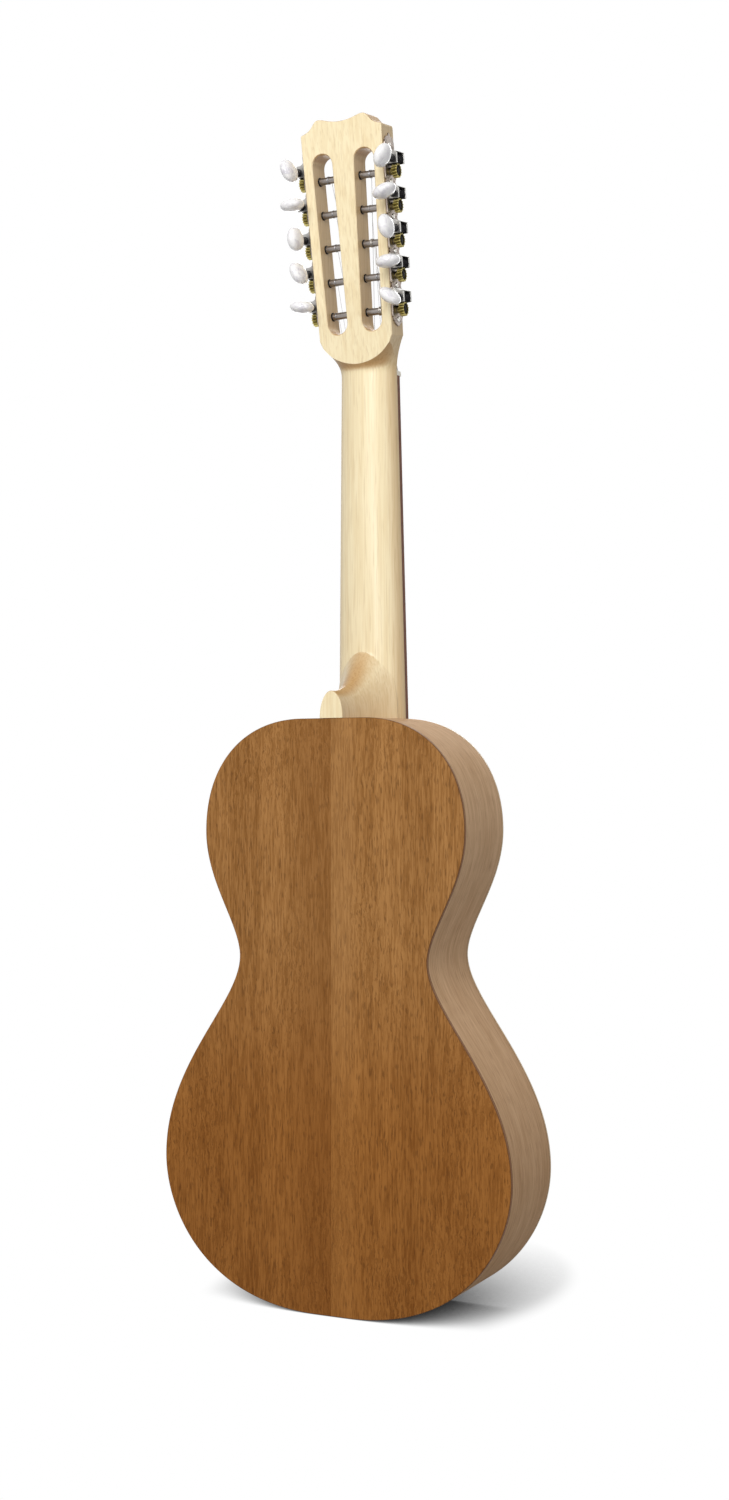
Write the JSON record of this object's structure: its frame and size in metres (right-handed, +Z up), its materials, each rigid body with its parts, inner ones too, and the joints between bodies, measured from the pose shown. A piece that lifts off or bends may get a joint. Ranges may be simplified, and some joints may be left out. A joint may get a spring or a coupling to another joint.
{
  "type": "viola da terra",
  "caption": "Small waisted folk guitar with heart soundholes, a slotted head and worm-driven string posts turned by pearl buttons.",
  "frame": {"origin": "middle of the tail end, on the centre line and half-way through the depth of the sides, where the instrument stands upright", "axes": "+Z runs up the neck to the head, the soundboard faces -Y, the back faces +Y and the treble side is +X"},
  "size_m": [0.2932, 0.094, 0.9159],
  "materials": {
    "back_wood": "satin varnish",
    "bone": "polished bone",
    "button_pearl": "pearl",
    "dark_wood": "oiled",
    "inner_wood": "bare",
    "neck_wood": "satin varnish",
    "nickel": "nickel plate",
    "rib_wood": "satin varnish",
    "soundboard_wood": "satin varnish",
    "string_steel": "drawn wire",
    "wheel_brass": "turned"
  },
  "bodies": {
    "instrument": {"back_bass": "back_wood", "back_brace_lower": "inner_wood", "back_brace_shoulder": "inner_wood", "back_brace_waist": "inner_wood", "back_centre_strip": "inner_wood", "back_lining_bass": "inner_wood", "back_lining_treble": "inner_wood", "back_treble": "back_wood", "bridge": "dark_wood", "fingerboard": "dark_wood", "headstock": "neck_wood", "machine_plate_bass": "nickel", "machine_plate_treble": "nickel", "neck": "neck_wood", "neck_block": "inner_wood", "nut": "bone", "rib_bass": "rib_wood", "rib_treble": "rib_wood", "saddle": "bone", "soundboard": "soundboard_wood", "soundboard_brace_lower": "inner_wood", "soundboard_brace_shoulder": "inner_wood", "soundboard_brace_waist": "inner_wood", "soundboard_lining_bass": "inner_wood", "soundboard_lining_treble": "inner_wood", "string_bass_1": "string_steel", "string_bass_2": "string_steel", "string_bass_3": "string_steel", "string_bass_4": "string_steel", "string_bass_5": "string_steel", "string_treble_1": "string_steel", "string_treble_2": "string_steel", "string_treble_3": "string_steel", "string_treble_4": "string_steel", "string_treble_5": "string_steel", "tail_block": "inner_wood", "tail_graft": "dark_wood"},
    "wheel_and_post_bass_1": {"wheel_and_post_bass_1": "wheel_brass"},
    "wheel_and_post_bass_2": {"wheel_and_post_bass_2": "wheel_brass"},
    "wheel_and_post_bass_3": {"wheel_and_post_bass_3": "wheel_brass"},
    "wheel_and_post_bass_4": {"wheel_and_post_bass_4": "wheel_brass"},
    "wheel_and_post_bass_5": {"wheel_and_post_bass_5": "wheel_brass"},
    "wheel_and_post_treble_1": {"wheel_and_post_treble_1": "wheel_brass"},
    "wheel_and_post_treble_2": {"wheel_and_post_treble_2": "wheel_brass"},
    "wheel_and_post_treble_3": {"wheel_and_post_treble_3": "wheel_brass"},
    "wheel_and_post_treble_4": {"wheel_and_post_treble_4": "wheel_brass"},
    "wheel_and_post_treble_5": {"wheel_and_post_treble_5": "wheel_brass"},
    "worm_and_button_bass_1": {"worm_and_button_bass_1": "button_pearl"},
    "worm_and_button_bass_2": {"worm_and_button_bass_2": "button_pearl"},
    "worm_and_button_bass_3": {"worm_and_button_bass_3": "button_pearl"},
    "worm_and_button_bass_4": {"worm_and_button_bass_4": "button_pearl"},
    "worm_and_button_bass_5": {"worm_and_button_bass_5": "button_pearl"},
    "worm_and_button_treble_1": {"worm_and_button_treble_1": "button_pearl"},
    "worm_and_button_treble_2": {"worm_and_button_treble_2": "button_pearl"},
    "worm_and_button_treble_3": {"worm_and_button_treble_3": "button_pearl"},
    "worm_and_button_treble_4": {"worm_and_button_treble_4": "button_pearl"},
    "worm_and_button_treble_5": {"worm_and_button_treble_5": "button_pearl"}
  },
  "joints": [
    {"name": "turn_button_treble_1", "type": "hinge", "parent": "instrument", "child": "worm_and_button_treble_1", "pos_m": [0.03812, -0.02187, 0.77535], "axis": [0, 0.9896, -0.1442], "continuous": true},
    {"name": "turn_post_treble_1", "type": "hinge", "parent": "instrument", "child": "wheel_and_post_treble_1", "pos_m": [0.03794, -0.0231, 0.76694], "axis": [0.9998, -0.0031, -0.021], "continuous": true},
    {"name": "turn_button_treble_2", "type": "hinge", "parent": "instrument", "child": "worm_and_button_treble_2", "pos_m": [0.03867, -0.01813, 0.80107], "axis": [0, 0.9896, -0.1442], "continuous": true},
    {"name": "turn_post_treble_2", "type": "hinge", "parent": "instrument", "child": "wheel_and_post_treble_2", "pos_m": [0.03849, -0.01935, 0.79266], "axis": [0.9998, -0.0031, -0.021], "continuous": true},
    {"name": "turn_button_treble_3", "type": "hinge", "parent": "instrument", "child": "worm_and_button_treble_3", "pos_m": [0.03923, -0.01438, 0.82679], "axis": [0, 0.9896, -0.1442], "continuous": true},
    {"name": "turn_post_treble_3", "type": "hinge", "parent": "instrument", "child": "wheel_and_post_treble_3", "pos_m": [0.03904, -0.0156, 0.81838], "axis": [0.9998, -0.0031, -0.021], "continuous": true},
    {"name": "turn_button_treble_4", "type": "hinge", "parent": "instrument", "child": "worm_and_button_treble_4", "pos_m": [0.03978, -0.01063, 0.85251], "axis": [0, 0.9896, -0.1442], "continuous": true},
    {"name": "turn_post_treble_4", "type": "hinge", "parent": "instrument", "child": "wheel_and_post_treble_4", "pos_m": [0.0396, -0.01186, 0.8441], "axis": [0.9998, -0.0031, -0.021], "continuous": true},
    {"name": "turn_button_treble_5", "type": "hinge", "parent": "instrument", "child": "worm_and_button_treble_5", "pos_m": [0.04033, -0.00688, 0.87824], "axis": [0, 0.9896, -0.1442], "continuous": true},
    {"name": "turn_post_treble_5", "type": "hinge", "parent": "instrument", "child": "wheel_and_post_treble_5", "pos_m": [0.04015, -0.00811, 0.86983], "axis": [0.9998, -0.0031, -0.021], "continuous": true},
    {"name": "turn_button_bass_1", "type": "hinge", "parent": "instrument", "child": "worm_and_button_bass_1", "pos_m": [-0.03812, -0.02187, 0.77535], "axis": [0, 0.9896, -0.1442], "continuous": true},
    {"name": "turn_post_bass_1", "type": "hinge", "parent": "instrument", "child": "wheel_and_post_bass_1", "pos_m": [-0.03794, -0.0231, 0.76694], "axis": [0.9998, 0.0031, 0.021], "continuous": true},
    {"name": "turn_button_bass_2", "type": "hinge", "parent": "instrument", "child": "worm_and_button_bass_2", "pos_m": [-0.03867, -0.01813, 0.80107], "axis": [0, 0.9896, -0.1442], "continuous": true},
    {"name": "turn_post_bass_2", "type": "hinge", "parent": "instrument", "child": "wheel_and_post_bass_2", "pos_m": [-0.03849, -0.01935, 0.79266], "axis": [0.9998, 0.0031, 0.021], "continuous": true},
    {"name": "turn_button_bass_3", "type": "hinge", "parent": "instrument", "child": "worm_and_button_bass_3", "pos_m": [-0.03923, -0.01438, 0.82679], "axis": [0, 0.9896, -0.1442], "continuous": true},
    {"name": "turn_post_bass_3", "type": "hinge", "parent": "instrument", "child": "wheel_and_post_bass_3", "pos_m": [-0.03904, -0.0156, 0.81838], "axis": [0.9998, 0.0031, 0.021], "continuous": true},
    {"name": "turn_button_bass_4", "type": "hinge", "parent": "instrument", "child": "worm_and_button_bass_4", "pos_m": [-0.03978, -0.01063, 0.85251], "axis": [0, 0.9896, -0.1442], "continuous": true},
    {"name": "turn_post_bass_4", "type": "hinge", "parent": "instrument", "child": "wheel_and_post_bass_4", "pos_m": [-0.0396, -0.01186, 0.8441], "axis": [0.9998, 0.0031, 0.021], "continuous": true},
    {"name": "turn_button_bass_5", "type": "hinge", "parent": "instrument", "child": "worm_and_button_bass_5", "pos_m": [-0.04033, -0.00688, 0.87824], "axis": [0, 0.9896, -0.1442], "continuous": true},
    {"name": "turn_post_bass_5", "type": "hinge", "parent": "instrument", "child": "wheel_and_post_bass_5", "pos_m": [-0.04015, -0.00811, 0.86983], "axis": [0.9998, 0.0031, 0.021], "continuous": true}
  ],
  "couplings": [
    {"joint": "turn_post_treble_1", "follows": "turn_button_treble_1", "ratio": 0.071429},
    {"joint": "turn_post_treble_2", "follows": "turn_button_treble_2", "ratio": 0.071429},
    {"joint": "turn_post_treble_3", "follows": "turn_button_treble_3", "ratio": 0.071429},
    {"joint": "turn_post_treble_4", "follows": "turn_button_treble_4", "ratio": 0.071429},
    {"joint": "turn_post_treble_5", "follows": "turn_button_treble_5", "ratio": 0.071429},
    {"joint": "turn_post_bass_1", "follows": "turn_button_bass_1", "ratio": -0.071429},
    {"joint": "turn_post_bass_2", "follows": "turn_button_bass_2", "ratio": -0.071429},
    {"joint": "turn_post_bass_3", "follows": "turn_button_bass_3", "ratio": -0.071429},
    {"joint": "turn_post_bass_4", "follows": "turn_button_bass_4", "ratio": -0.071429},
    {"joint": "turn_post_bass_5", "follows": "turn_button_bass_5", "ratio": -0.071429}
  ]
}
